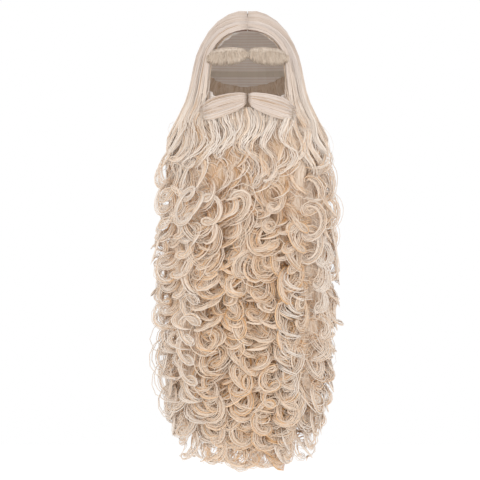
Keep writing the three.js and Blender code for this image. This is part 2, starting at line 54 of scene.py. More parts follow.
SIDES = ((1, "left"), (-1, "right"))  # the wearer's, with the sign of x

HEAD_MIDDLE = -0.105  # height of the level where the head is widest
LEVEL_DROP = 0.1  # height of each level below that
AZIMUTH_GRID = np.linspace(-180, 180, 121)
LEVEL_GRID = np.arange(0, 8.61, 0.1)
FAR = 0.5  # where a ray towards the hair starts
AXIS_CLEARANCE = 0.05  # how close to the axis such a ray comes
HALVES = [kind + name for kind in ("crown_hair_", "side_locks_") for _, name in SIDES]
HAIR_NODES = [*HALVES, "back_locks", "beard_locks"]

# Half the width of the beard, and where the back locks begin, in degrees round from the face.
DIVISION_LEVELS = (1.0, 1.85, 2.5, 3.5, 5.8, 8.5)
BEARD_HALF = (53, 51, 44, 40, 39, 41)
BACK_START = (138, 138, 138, 139, 140, 140)

# The crown hair's edge beside the face, from the parting down: x, y and z in millimetres.
FACE_EDGE = (
    (1, -76, -36),
    (24, -72, -40),
    (42, -63, -52),
    (55, -54, -70),
    (61, -51, -94),
    (63, -47, -125),
    (66, -49, -158),
    (73, -56, -190),
)

# The parting from front to back, and the line where the halves meet behind, in millimetres too.
PARTING = (FACE_EDGE[0], (1, -20, 0), (1, 47, -12))
BACK_SEAM = (PARTING[-1], (1, 78, -32), (1, 104, -75), (1, 116, -125), (1, 117, -190))


# Places on the hair


def toward(azimuth, level):
    """Unit directions out of the head's middle, or level ones out of the axis below it."""
    fall = np.radians(90 * np.clip(level, 0, 1))
    turn = np.radians(azimuth)
    return np.stack(
        [np.sin(turn) * np.sin(fall), -np.cos(turn) * np.sin(fall), np.cos(fall)], -1
    )


def level_toward(azimuth):
    """Level unit directions out of the axis."""
    return toward(azimuth, np.ones_like(azimuth))


def place(azimuth, level, reach):
    """Points at an azimuth, a level and a reach."""
    points = toward(azimuth, level) * np.asarray(reach)[..., None]
    points[..., 2] += HEAD_MIDDLE - LEVEL_DROP * np.maximum(np.asarray(level) - 1, 0)
    return points


def locate(points):
    """The azimuth and level of points."""
    x, y, z = np.moveaxis(points, -1, 0)
    azimuth = np.degrees(np.arctan2(x, -y))
    above = np.degrees(np.arctan2(np.hypot(x, y), z - HEAD_MIDDLE)) / 90
    below = 1 + (HEAD_MIDDLE - z) / LEVEL_DROP
    return azimuth, np.where(z > HEAD_MIDDLE, above, below)


def reach_of(points, azimuth, level):
    return np.linalg.norm(points - place(azimuth, level, np.zeros_like(level)), axis=-1)


def tree_of(names):
    """A tree for rays against the CAD solids of some nodes."""
    vertices, faces = [], []
    for name in names:
        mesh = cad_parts[name].data
        start = len(vertices)
        vertices += [v.co.copy() for v in mesh.vertices]
        faces += [[start + k for k in p.vertices] for p in mesh.polygons]
    return BVHTree.FromPolygons(vertices, faces)


def reach_table(tree, outer):
    """How far the CAD hair reaches out, or begins, at each azimuth and level, smoothed."""
    table = np.full((len(AZIMUTH_GRID), len(LEVEL_GRID)), np.nan)
    for i, azimuth in enumerate(AZIMUTH_GRID):
        for k, level in enumerate(LEVEL_GRID):
            direction = Vector(toward(azimuth, level))
            middle = Vector(place(azimuth, level, 0.0))
            if outer:
                hit = tree.ray_cast(middle + direction * FAR, -direction, FAR - AXIS_CLEARANCE)
                table[i, k] = FAR - hit[3] if hit[0] else np.nan
            else:
                hit = tree.ray_cast(middle, direction, FAR)
                table[i, k] = hit[3] if hit[0] else np.nan
    return smoothed(smoothed(filled(table)))


def filled(table):
    """The table with each missing place filled from its neighbours."""
    table = table.copy()
    while np.isnan(table).any():
        sides = [np.roll(table, 1, 0), np.roll(table, -1, 0)]
        up = np.roll(table, 1, 1)
        up[:, 0] = np.nan
        down = np.roll(table, -1, 1)
        down[:, -1] = np.nan
        around = np.stack([*sides, up, down])
        known = ~np.isnan(around)
        mean = np.where(known, around, 0).sum(0) / np.maximum(known.sum(0), 1)
        table = np.where(np.isnan(table) & known.any(0), mean, table)
    return table


def smoothed(table):
    """The table with each place averaged with its neighbours. It closes up round the head."""
    closed = np.pad(table[:-1], ((1, 2), (0, 0)), mode="wrap")
    table = (closed[:-2] + 2 * closed[1:-1] + closed[2:]) / 4
    ends = np.pad(table, ((0, 0), (1, 1)), mode="edge")
    return (ends[:, :-2] + 2 * ends[:, 1:-1] + ends[:, 2:]) / 4


def look_up(table, azimuth, level):
    i = (np.asarray(azimuth, float) + 180) % 360 / (AZIMUTH_GRID[1] - AZIMUTH_GRID[0])
    k = np.clip(level, LEVEL_GRID[0], LEVEL_GRID[-1]) / (LEVEL_GRID[1] - LEVEL_GRID[0])
    i0 = np.clip(np.floor(i).astype(int), 0, len(AZIMUTH_GRID) - 2)
    k0 = np.clip(np.floor(k).astype(int), 0, len(LEVEL_GRID) - 2)
    u, v = i - i0, k - k0
    low = table[i0, k0] * (1 - v) + table[i0, k0 + 1] * v
    high = table[i0 + 1, k0] * (1 - v) + table[i0 + 1, k0 + 1] * v
    return low * (1 - u) + high * u


hair_tree = tree_of(HAIR_NODES)
outer_reach = reach_table(hair_tree, True)
inner_reach = reach_table(hair_tree, False)


def buried(points):
    """How far points lie inside the CAD hair's outer surface."""
    azimuth, level = locate(points)
    return look_up(outer_reach, azimuth, level) - reach_of(points, azimuth, level)


def smoothstep(x, low, high):
    t = np.clip((x - low) / (high - low), 0, 1)
    return t * t * (3 - 2 * t)


def wander(rng, count, points, waves, strength=1.0):
    """Smooth noise along each of count strands, about -1 to 1 times strength."""
    along = np.linspace(0, 1, points)[None, :]
    total = np.zeros((count, points))
    for wave in waves:
        phase = rng.uniform(0, 2 * np.pi, (count, 1))
        rate = wave * rng.uniform(0.75, 1.3, (count, 1))
        total += np.sin(2 * np.pi * rate * along + phase)
    return strength * total / len(waves)


# Meshes

STRAND_SIDES = 3
CARRIED, FRESH = 0.85, 0.15  # shares of a strand's last facing and of its own at each step
CELL_ROWS = 60  # how many times as many rows as columns of cells the texture has
CELL_LEFT, CELL_LENGTH = 0.02, 0.96  # where a strand lies in its cell, as shares of it
CELL_LOW, CELL_HEIGHT = 0.08, 0.84


def put_in_scene(name, data):
    thing = bpy.data.objects.new(name, data)
    bpy.context.scene.collection.objects.link(thing)
    return thing


def unit(vectors):
    length = np.linalg.norm(vectors, axis=-1, keepdims=True)
    return vectors / np.maximum(length, 1e-12)


def squared(vectors, along):
    """Unit vectors turned square to others."""
    return unit(vectors - (vectors * along).sum(-1, keepdims=True) * along)


class Draws:
    """Random values for strands, and the steps along them from 0 to 1."""

    def __init__(self, seed, count, points):
        self.rng, self.count, self.points = np.random.default_rng(seed), count, points
        self.t = np.linspace(0, 1, points)[None, :]

    def each(self, low, high):
        """A random value for each strand."""
        return self.rng.uniform(low, high, (self.count, 1))

    def row(self):
        """Shares of a width at which strands lie side by side."""
        return (np.arange(self.count)[:, None] + self.each(0, 1)) / self.count

    def wander(self, waves, strength):
        return wander(self.rng, self.count, self.points, waves, strength)


def bundle(paths, width, flatness, facing, tint):
    """Strands for strand_mesh. flatness is their thickness as a share of their width."""
    return {
        "paths": paths,
        "width": width,
        "thickness": width * flatness,
        "facing": facing,
        "tint": np.broadcast_to(tint, width.shape),
    }


def tube_rings(strands):
    """Points of the rings round each path. The flat of a strand faces its facing."""
    paths = strands["paths"]
    along = unit(np.gradient(paths, axis=1))
    up = squared(strands["facing"], along)
    for k in range(1, paths.shape[1]):
        carried = squared(up[:, k - 1], along[:, k])
        up[:, k] = squared(unit(CARRIED * carried + FRESH * up[:, k]), along[:, k])
    side = np.cross(along, up)
    turns = 2 * np.pi * (np.arange(STRAND_SIDES) + 0.75) / STRAND_SIDES
    width, thickness = strands["width"], strands["thickness"]
    ring = np.cos(turns)[:, None] * side[:, :, None] * width[..., None, None]
    ring = ring + np.sin(turns)[:, None] * up[:, :, None] * thickness[..., None, None]
    return paths[:, :, None] + ring


def tube_faces(start, strands, steps):
    """Corners of the walls and the end caps of tubes whose points are numbered from start."""
    first = start + np.arange(strands)[:, None, None] * steps * STRAND_SIDES
    corner = first + np.arange(steps - 1)[None, :, None] * STRAND_SIDES
    a = np.arange(STRAND_SIDES)[None, None, :]
    c = (a + 1) % STRAND_SIDES
    next_corner = corner + STRAND_SIDES
    walls = np.stack([corner + a, next_corner + a, next_corner + c, corner + c], -1)
    low = first[:, 0] + np.arange(STRAND_SIDES)[None, :]
    high = low[:, ::-1] + (steps - 1) * STRAND_SIDES
    return walls.reshape(-1, 4), np.concatenate([low, high])


def tube_uvs(cells, steps, columns, rows):
    """Where the corners of the same walls and caps lie, in a texture of numbered cells."""
    column, row = cells % columns, cells // columns
    step = np.arange(steps - 1)[None, :, None, None] + np.array([0, 1, 1, 0])
    side = np.arange(STRAND_SIDES)[None, None, :, None] + np.array([0, 0, 1, 1])
    left, low = column[:, None, None, None] + CELL_LEFT, row[:, None, None, None] + CELL_LOW
    u = (left + CELL_LENGTH * step / (steps - 1)) / columns
    v = (low + CELL_HEIGHT * side / STRAND_SIDES) / rows
    walls = np.stack(np.broadcast_arrays(u, v), -1).reshape(-1, 2)
    caps = np.stack([(column + CELL_LEFT) / columns, (row + 0.5) / rows], -1)
    return walls, np.repeat(np.tile(caps, (2, 1)), STRAND_SIDES, axis=0)


def strand_mesh(name, bundles, material):
    """One mesh of closed tubes, each with its tint and a cell of its own in the texture."""
    count = sum(len(strands["paths"]) for strands in bundles)
    columns = max(1, round((count / CELL_ROWS) ** 0.5))
    rows = -(-count // columns)
    start, cell = 0, 0
    parts = []
    for strands in bundles:
        number, steps = strands["paths"].shape[:2]
        cells = cell + np.arange(number)
        parts.append(
            (
                tube_rings(strands).reshape(-1, 3),
                np.repeat(strands["tint"].reshape(-1), STRAND_SIDES),
                *tube_faces(start, number, steps),
                *tube_uvs(cells, steps, columns, rows),
            )
        )
        start += number * steps * STRAND_SIDES
        cell += number
    points, tints, walls, caps, *uvs = (np.concatenate(part) for part in zip(*parts))
    mesh = faced_mesh(name, points, walls, caps)
    tint = mesh.attributes.new("tint", "FLOAT", "POINT")
    tint.data.foreach_set("value", tints.astype(np.float32))
    layer = mesh.uv_layers.new(name="OFBake")
    layer.data.foreach_set("uv", np.concatenate(uvs).astype(np.float32).ravel())
    mesh.materials.append(material)
    return put_in_scene(name, mesh)


def faced_mesh(name, points, walls, caps):
    mesh = bpy.data.meshes.new(name)
    mesh.vertices.add(len(points))
    mesh.vertices.foreach_set("co", points.astype(np.float32).ravel())
    corners = np.concatenate([walls.ravel(), caps.ravel()]).astype(np.int32)
    mesh.loops.add(len(corners))
    mesh.loops.foreach_set("vertex_index", corners)
    sizes = np.repeat((4, STRAND_SIDES), (len(walls), len(caps)))
    mesh.polygons.add(len(sizes))
    starts = np.concatenate([[0], np.cumsum(sizes)[:-1]]).astype(np.int32)
    mesh.polygons.foreach_set("loop_start", starts)
    mesh.update(calc_edges=True)
    mesh.shade_smooth()
    return mesh


# Materials

STREAKS = (40, 520, 1)  # how often hair's streaks change along and across the texture
STREAK_STRENGTH = 0.36
TINT_STOPS = (0.02, 0.25, 0.6, 1.0)


def new_material(name):
    material = bpy.data.materials.new(name)
    material.use_nodes = True
    tree = material.node_tree
    tree.nodes.clear()
    shader = tree.nodes.new("ShaderNodeBsdfPrincipled")
    output = tree.nodes.new("ShaderNodeOutputMaterial")
    tree.links.new(shader.outputs["BSDF"], output.inputs["Surface"])
    return material, tree, shader


def fill(node, values):
    for name, value in values.items():
        node.inputs[name].default_value = value


def add_node(tree, kind, values, links):
    """A node with some inputs set to values and others linked to outputs."""
    node = tree.nodes.new("ShaderNode" + kind)
    fill(node, values)
    for name, output in links.items():
        tree.links.new(output, node.inputs[name])
    return node


def object_place(tree):
    return add_node(tree, "TexCoord", {}, {}).outputs["Object"]


def stretched_noise(tree, vector, stretch, values):
    mapping = add_node(tree, "Mapping", {"Scale": stretch}, {"Vector": vector})
    noise = add_node(tree, "TexNoise", values, {"Vector": mapping.outputs["Vector"]})
    return noise.outputs["Fac"]


def ramp(tree, source, stops):
    node = add_node(tree, "ValToRGB", {}, {"Fac": source})
    elements = node.color_ramp.elements
    while len(elements) < len(stops):
        elements.new(0.5)
    for element, (position, colour) in zip(elements, stops):
        element.position = position
        element.color = (*colour, 1)
    return node.outputs["Color"]


def dress(tree, shader, colour, height, strength, distance, values):
    """Gives a shader its colour, a bump of that strength and its other values."""
    bump_values = {"Strength": strength, "Distance": distance}
    bump = add_node(tree, "Bump", bump_values, {"Height": height})
    tree.links.new(bump.outputs["Normal"], shader.inputs["Normal"])
    tree.links.new(colour, shader.inputs["Base Color"])
    fill(shader, values)


def streaked_tint(tree):
    """Each strand's tint with fine streaks along it, and the streaks by themselves."""
    uv = tree.nodes.new("ShaderNodeUVMap")
    uv.uv_map = "OFBake"
    streaks = stretched_noise(tree, uv.outputs["UV"], STREAKS, {"Scale": 1.0, "Detail": 2})
    tint = tree.nodes.new("ShaderNodeAttribute")
    tint.attribute_name = "tint"
    add = add_node(tree, "Math", {1: STREAK_STRENGTH}, {0: streaks, 2: tint.outputs["Fac"]})
    add.operation = "MULTIPLY_ADD"
    return add.outputs[0], streaks


def strand_material(name, combed, curled, heights, roughness):
    """Hair whose colour follows each strand's tint, with fine streaks along it and a soft gloss.

    combed and curled each give four colours from dark to light. The first set holds above the
    upper of the two heights, the second below the lower one.
    """
    material, tree, shader = new_material(name)
    tint, streaks = streaked_tint(tree)
    split = add_node(tree, "SeparateXYZ", {}, {"Vector": object_place(tree)})
    limits = {"From Min": heights[0], "From Max": heights[1]}
    blend = add_node(tree, "MapRange", limits, {"Value": split.outputs["Z"]})
    mix = tree.nodes.new("ShaderNodeMix")
    mix.data_type = "RGBA"
    tree.links.new(blend.outputs["Result"], mix.inputs["Factor"])
    tree.links.new(ramp(tree, tint, list(zip(TINT_STOPS, curled))), mix.inputs["A"])
    tree.links.new(ramp(tree, tint, list(zip(TINT_STOPS, combed))), mix.inputs["B"])
    values = {"Roughness": roughness, "Specular IOR Level": 0.25}
    dress(tree, shader, mix.outputs["Result"], streaks, 0.3, 0.0005, values)
    return material


def underlayer_material(name, dark, middle, light):
    """Deep hair seen between the strands, streaked downwards, in colours darker than the strands
    over it: painted shade for the hollows under them.
    """
    material, tree, shader = new_material(name)
    values = {"Scale": 34, "Detail": 4, "Distortion": 2.2}
    noise = stretched_noise(tree, object_place(tree), (3.2, 3.2, 1.0), values)
    colours = ramp(tree, noise, [(0.32, dark), (0.5, middle), (0.7, light)])
    dress(tree, shader, colours, noise, 0.8, 0.004, {"Roughness": 0.7})
    return material


def level_rows(tree, scale, distortion, dark, light):
    """Level rows of two colours: their colour and their height."""
    values = {"Scale": scale, "Distortion": distortion}
    rows = add_node(tree, "TexWave", values, {"Vector": object_place(tree)})
    rows.bands_direction = "Z"
    height = rows.outputs["Fac"]
    return ramp(tree, height, [(0.2, dark), (0.8, light)]), height


def net_material():
    """Fine net in rows, as a wig's cap is made. The real net is brown; its pale colours are painted
    light that offsets the shade inside the cap.
    """
    material, tree, shader = new_material("net")
    colours, _ = level_rows(tree, 62, 0.6, (0.86, 0.74, 0.65), (0.94, 0.86, 0.79))
    cells = add_node(tree, "TexVoronoi", {"Scale": 420}, {"Vector": object_place(tree)})
    cells.feature = "DISTANCE_TO_EDGE"
    dress(tree, shader, colours, cells.outputs["Distance"], 0.7, 0.0012, {"Roughness": 0.85})
    return material


def band_material():
    """Ribbed woven elastic."""
    material, tree, shader = new_material("elastic")
    # Painted shade: the rows are darker where the ribs lie low, in the grooves between them.
    colours, ribs = level_rows(tree, 160, 0.0, (0.66, 0.55, 0.43), (0.86, 0.78, 0.67))
    dress(tree, shader, colours, ribs, 0.5, 0.0008, {"Roughness": 0.8})
    return material


# Partly painted light: the combed sets, for the crown and moustache tops that are open to the
# light, are darker and the curled sets, for the deep curls, paler, to even out how much light each
# gets. The crown's pinker, greyer hue is the hair's own.
COMBED = ((0.16, 0.08, 0.05), (0.48, 0.31, 0.19), (0.64, 0.5, 0.4), (0.72, 0.61, 0.54))
PALE = ((0.64, 0.35, 0.15), (0.88, 0.6, 0.37), (0.93, 0.75, 0.59), (0.95, 0.83, 0.72))
CURLED = ((0.64, 0.27, 0.08), (0.85, 0.46, 0.18), (0.86, 0.6, 0.39), (0.87, 0.7, 0.55))
SOFT = ((0.66, 0.34, 0.13), (0.84, 0.54, 0.3), (0.86, 0.67, 0.51), (0.89, 0.77, 0.66))
BROWS = ((0.28, 0.18, 0.11), (0.38, 0.26, 0.17), (0.56, 0.43, 0.32), (0.66, 0.54, 0.43))
HAIR = strand_material("hair", COMBED, SOFT, (-0.2, -0.09), 0.4)
BEARD_HAIR = strand_material("beard_hair", PALE, CURLED, (-0.42, -0.26), 0.4)
WING_HAIR = strand_material("moustache_hair", COMBED, PALE, (-0.24, -0.18), 0.38)
BROW_HAIR = strand_material("brow_hair", BROWS, BROWS, (-1.0, -0.9), 0.6)
# The underlayers' darker golden colours are painted shade for the gaps between the strands.
DEEP_CURLS = underlayer_material(
    "deep_curls", (0.52, 0.3, 0.15), (0.68, 0.46, 0.29), (0.78, 0.6, 0.44)
)
DEEP_COMBED = underlayer_material(
    "deep_combed", (0.58, 0.39, 0.25), (0.74, 0.56, 0.41), (0.82, 0.67, 0.54)
)
CORES = underlayer_material("cores", (0.46, 0.36, 0.27), (0.58, 0.46, 0.36), (0.66, 0.55, 0.45))


# Walls of hanging hair


class Wall:
    """A wall of hanging hair.

    azimuth gives the azimuth at a share of the wall's width and a level, and bottom the level
    where the wall ends at a share of its width. Its locks are waves down to waves_until.
    """

    def __init__(self, azimuth, bottom, waves_until):
        self.azimuth, self.bottom, self.waves_until = azimuth, bottom, waves_until


def beard_azimuth(share, level):
    half = np.interp(level, DIVISION_LEVELS, BEARD_HALF)
    return (2 * share - 1) * (half + 4)


def beard_bottom(share):
    return 8.66 - 0.6 * (share - 0.56) ** 2


def side_azimuth(side):
    def at(share, level):
        low = np.interp(level, DIVISION_LEVELS, BEARD_HALF) - 5
        high = np.interp(level, DIVISION_LEVELS, BACK_START) + 4
        return side * (low + (high - low) * share)

    return at


def side_bottom(share):
    return 8.56 - 0.5 * smoothstep(share, 0.1, 0.45)


def back_azimuth(share, level):
    low = np.interp(level, DIVISION_LEVELS, BACK_START) - 2
    return low + (360 - 2 * low) * share


def back_bottom(share):
    return np.full(len(share), 8.25)


BEARD = Wall(beard_azimuth, beard_bottom, 3.2)
BACK = Wall(back_azimuth, back_bottom, 2.7)


# Plans of locks

CURL_LEVELS = np.linspace(1.2, 8.6, 371)
PITCH_LEVELS = (1.5, 2.1, 2.7, 3.3, 3.9, 8.6)
PITCHES = (140, 104, 82, 60, 44, 42)  # millimetres from one turn to the next at those levels
TIGHT = (0.62, 0.9)  # shares of those lengths that a short ringlet's turns take
SPREAD_ACROSS, SPREAD_DOWN = 0.7548776662, 0.5698402910  # steps that spread points evenly


def curl_phase(level, pitch_scale):
    """Turns of the curl from the lips down to a level: long waves first, then tight ringlets."""
    pitch = np.interp(CURL_LEVELS, PITCH_LEVELS, PITCHES) * MM
    turns = np.concatenate([[0], np.cumsum(np.diff(CURL_LEVELS) * LEVEL_DROP / pitch[1:])])
    return np.interp(level, CURL_LEVELS, turns) / pitch_scale


def side_by_side(rng, locks, jitter):
    """Shares of a wall's width at which locks lie in a row."""
    return (np.arange(locks) + 0.5 + rng.uniform(-jitter, jitter, locks)) / locks


def whole_plan(rng, share, start, end, depth, size, **more):
    """A layer of locks: its own values, and for the rest what most layers have.

    depth is how far it lies under the hair's surface, size its coils' radius, tuck and drawn_in
    how far in its ends and tops go, ragged how uneven they are, pitch how long turns are,
    turned how far rings turn to the front, pale how much lighter a lock is,
    less any painted shade near a wall's edges, and hand the way round that it coils. phase is
    its angle at the top, or where closed is 1 at its end.
    """
    locks = len(share)
    plan = {"share": share, "start": start, "end": end, "depth": depth, "size": size}
    plan.update(turned=0.0, pitch=(0.82, 1.15), pale=np.zeros(locks), closed=1.0)
    plan["phase"] = 1.5 * np.pi + rng.uniform(0, 0.8, locks)
    plan["hand"] = rng.choice((-1.0, 1.0), locks)
    plan.update(more)
    return plan


def lock_plan(seed, locks, top, wall, lengths, depth, size, turned=0.0):
    """Locks of some levels' length, spread evenly over the wall and over its height."""
    rng = np.random.default_rng(seed)
    above_top, above_bottom = 0.7, 0.6
    k = np.arange(locks)
    share = (k * SPREAD_ACROSS + rng.uniform()) % 1
    height = (k * SPREAD_DOWN + rng.uniform()) % 1
    lowest = wall.bottom(share)
    start = np.maximum(top - above_top + (lowest - top - above_bottom) * height, top)
    end = np.minimum(start + rng.uniform(*lengths, locks), lowest - rng.uniform(0, 0.12, locks))
    more = {"turned": turned, "tuck": 0.012, "ragged": (0.8, 0.25), "drawn_in": 1.0}
    return whole_plan(rng, share, start, end, depth, size, **more)


def long_plan(seed, locks, top, wall, depth, size):
    """Locks side by side, each as long as the wall."""
    rng = np.random.default_rng(seed)
    share = side_by_side(rng, locks, 0.3)
    end = wall.bottom(share) - rng.uniform(0, 0.25, locks)
    more = {"tuck": 0.004, "ragged": (0.6, 0.25), "drawn_in": 0.25}
    return whole_plan(rng, share, np.full(locks, top), end, depth, size, **more)


def painted_edge_shade(share):
    """Painted shade beside the edges of a wall, where it meets the hair next to it."""
    return 0.3 * (1 - smoothstep(np.minimum(share, 1 - share), 0.04, 0.16))


def wave_plan(seed, locks, top, end, depth, size, hidden=0.0):
    """Wide wavy locks over the top of a wall, in step, tucked in where they end.

    hidden is 1 if their tops come out from under other hair and 0 if they lie in a row.
    """
    rng = np.random.default_rng(seed)
    share = side_by_side(rng, locks, 0.25)
    ends = end + rng.uniform(-0.35, 0.35, locks)
    more = {"tuck": 0.02, "drawn_in": 0.1 + 0.8 * hidden, "ragged": (0.12 + 2.4 * hidden, 1.0)}
    more["phase"] = 0.6 * np.arange(locks) + rng.uniform(-0.35, 0.35, locks)
    more.update(hand=np.ones(locks), pitch=(0.95, 1.05), closed=0.0)
    # The 0.15 is these locks' lighter tone; painted shade darkens an open row near its edges.
    more["pale"] = 0.15 - (1 - hidden) * painted_edge_shade(share)
    return whole_plan(rng, share, np.full(locks, top), ends, depth, size, **more)


def hem_plan(seed, locks, wall, depth, size):
    """Short ringlets that close a wall's lower edge."""
    rng = np.random.default_rng(seed)
    share = side_by_side(rng, locks, 0.12)
    end = wall.bottom(share) - rng.uniform(0.06, 0.16, locks)
    start = end - rng.uniform(0.8, 1.1, locks)
    more = {"tuck": 0.002, "ragged": (0.5, 0.15), "drawn_in": 0.8, "pitch": TIGHT}
    return whole_plan(rng, share, start, end, depth, size, **more)


# Strands of locks

STRAY_SHARE = 0.13  # of a lock's strands, which lie further out than the others
STRAY_SPREAD = 1.8
GOLDEN_SHARE = 0.32  # of a lock's strands
RIBBON = (0.0045, 0.0082)  # half the width of a lock's band of strands
TOP_DEPTH = 0.024  # how far a lock's top is drawn in under the others
OPEN_RING, WAVY_RING = (58, 84), (15, 48)  # degrees that coils are tipped up
RING_YAW = 28  # degrees to either side that they turn
INNER_CLEARANCE = 0.004  # from the CAD hair's inner surface
CURL_WIDTH = (0.65, 1.2)  # half a strand's, in millimetres, and so on for the others
# The second value is painted shade: how much darker a curl strand's tint is made where it lies deep
# under the hair's surface.
CURL_TINT, PAINTED_DEPTH_SHADE = 0.72, 0.5
FLAT = 0.6  # a strand's thickness as a share of its width


class LockLayer(Draws):
    """Strands of curled locks, worked out from a plan.

    Each lock is a flat band of strands, coiled round a line that hangs down the hair's surface.
    Where the wall's waves end, a share of the coils, ringed, opens to rings.
    """

    def __init__(self, seed, wall, plan, per_lock, points, ringed):
        self.wall, self.plan, self.per_lock = wall, plan, per_lock
        self.locks = len(plan["share"])
        super().__init__(seed, self.locks * per_lock, points)
        self.entry = smoothstep(self.t, 0, 0.16)
        self.curl_in = smoothstep(self.t, 0.76, 1.0)
        self.run_down()
        self.loose = smoothstep(self.level, wall.waves_until - 1.0, wall.waves_until + 0.3)
        self.size_coils()
        self.turn_coils()
        self.tip_coils(ringed)
        self.hang_down()

    def of_lock(self, values):
        """Each lock's values, repeated for its strands."""
        return np.repeat(values, self.per_lock, axis=0).reshape(self.count, -1)

    def per(self, low, high):
        """A random value for each lock."""
        return self.of_lock(self.rng.uniform(low, high, self.locks))

    def run_down(self):
        """Where strands lie across their band, and the turns and levels of their points."""
        plan = self.plan
        row = np.tile(np.linspace(-1, 1, self.per_lock), self.locks)[:, None]
        across = row + self.each(-0.14, 0.14)
        self.stray = self.each(0, 1) < STRAY_SHARE
        self.across = np.where(self.stray, across * STRAY_SPREAD, across)
        start = self.of_lock(plan["start"]) + self.each(-0.05, 0.2) * plan["ragged"][0]
        end = self.of_lock(plan["end"]) - self.each(0, 0.42) * plan["ragged"][1]
        pitch = self.per(*plan["pitch"])
        begin, finish = curl_phase(start, pitch), curl_phase(end, pitch)
        self.turns = begin + (finish - begin) * self.t
        self.last = curl_phase(self.of_lock(plan["end"]), pitch) * plan["closed"]
        self.level = np.interp(self.turns * pitch, curl_phase(CURL_LEVELS, 1.0), CURL_LEVELS)

    def size_coils(self):
        self.wobble = self.of_lock(wander(self.rng, self.locks, self.points, (1.5, 4)))
        self.slow = self.of_lock(wander(self.rng, self.locks, self.points, (0.6, 1.4)))
        radius = self.per(0.74, 1.2) * self.plan["size"]
        radius = radius * (0.3 + 0.7 * smoothstep(self.level, 1.75, 2.6))
        radius = radius * (1 + 0.16 * self.wobble) * (0.35 + 0.65 * self.entry)
        self.radius = radius * (1 - 0.5 * self.curl_in)
        ribbon = self.per(*RIBBON) * (0.55 + 0.45 * self.entry)
        self.ribbon = ribbon * (1 - 0.5 * self.curl_in)

    def turn_coils(self):
        """The angle of each point round its coil."""
        angle = 2 * np.pi * (self.turns - self.last) + self.of_lock(self.plan["phase"])
        angle = angle + 0.35 * self.wobble + self.each(-0.06, 0.06)
        angle = angle + self.wander((2, 5), 0.06)
        self.angle = angle + np.where(self.stray, self.each(-0.6, 0.6), 0)

    def tip_coils(self, ringed):
        """How far coils are tipped out of upright rings, and how they lean sideways."""
        opened = np.where(self.rng.uniform(0, 1, self.locks) < ringed, 1.0, 0.0)
        tipped = opened * self.rng.uniform(*OPEN_RING, self.locks)
        tipped = tipped + (1 - opened) * self.rng.uniform(*WAVY_RING, self.locks)
        self.tilt = np.radians(90 - self.loose * (self.of_lock(tipped) + 6 * self.slow))
        self.lean = self.per(-0.5, 0.5) * self.loose
        self.relief = 0.35 + 0.35 * self.loose

    def hang_down(self):
        """The line that each coil winds round, and how far the coil turns away from the wall."""
        plan, level = self.plan, self.level
        drift = self.per(-0.03, 0.03) * (level - self.of_lock(plan["start"])) * self.loose
        azimuth = self.wall.azimuth(np.clip(self.of_lock(plan["share"]) + drift, 0, 1), level)
        azimuth = azimuth + 4.5 * self.slow * smoothstep(level, 1.9, 3.4)
        from_face = (azimuth + 180) % 360 - 180
        turned = plan["turned"] * (1 - smoothstep(np.abs(from_face), 80, 112))
        yaw = from_face * self.per(0.1, 1) * turned + self.per(-RING_YAW, RING_YAW)
        yaw = np.radians(yaw) * self.loose
        poking = np.sin(self.tilt) * np.abs(np.cos(yaw)) * self.relief
        poking = np.maximum(poking, np.abs(np.sin(yaw)))
        below = plan["depth"] + self.per(-0.003, 0.005) + self.each(0, 0.0028)
        below = below + self.radius * poking
        below = below + TOP_DEPTH * plan["drawn_in"] * (1 - self.entry)
        below = below + plan["tuck"] * self.curl_in
        reach = look_up(outer_reach, azimuth, level) - below
        floor = look_up(inner_reach, azimuth, level) + INNER_CLEARANCE
        self.base = place(azimuth, level, np.maximum(reach, floor))
        self.azimuth, self.yaw = azimuth, yaw

    def wind(self):
        """The strands' paths, and the way that each point faces."""
        out = level_toward(self.azimuth)
        round_way = level_toward(self.azimuth + 90)
        down = np.zeros_like(out)
        down[..., 2] = -1
        cos_yaw, sin_yaw = np.cos(self.yaw)[..., None], np.sin(self.yaw)[..., None]
        first = cos_yaw * round_way + sin_yaw * out
        third = cos_yaw * out - sin_yaw * round_way
        second = np.cos(self.tilt)[..., None] * down + self.lean[..., None] * first
        second = second + (np.sin(self.tilt) * self.relief)[..., None] * third
        hand = self.of_lock(self.plan["hand"])
        swing = np.cos(self.angle)[..., None] * first * hand[..., None]
        swing = swing + np.sin(self.angle)[..., None] * second
        spread = self.across * self.ribbon
        paths = self.base + (self.radius + spread * self.loose)[..., None] * swing
        sideways = spread * 1.4 * (1 - self.loose)
        return paths + sideways[..., None] * round_way, third + 0.25 * swing

    def strands(self):
        paths, facing = self.wind()
        body = (0.6 + 0.4 * self.entry) * (1 - 0.6 * smoothstep(self.t, 0.9, 1.0))
        width = self.each(*CURL_WIDTH) * MM * body
        is_golden = self.each(0, 1) < GOLDEN_SHARE
        golden = np.where(is_golden, self.each(-0.52, -0.22), self.each(-0.12, 0.16))
        tint = CURL_TINT + self.of_lock(self.plan["pale"]) + np.where(self.stray, 0.1, golden)
        tint = tint + self.per(-0.1, 0.08)
        tint = tint + self.wander((4, 9), 0.07)
        # Painted shade: strands deep under the hair's surface are drawn darker and more golden.
        tint = tint - PAINTED_DEPTH_SHADE * smoothstep(buried(paths), -0.01, 0.022)
        return bundle(paths, width, FLAT, facing, tint)


def curls(wall, *layers):
    """The strands of layers that each give a seed and the rest of what LockLayer takes."""
    return [LockLayer(seed, wall, *layer).strands() for seed, *layer in layers]


FALL_WIDTH = (0.8, 1.4)
FALL_TINT = 0.76
FALL_CLUMP = 20  # strands that sway together


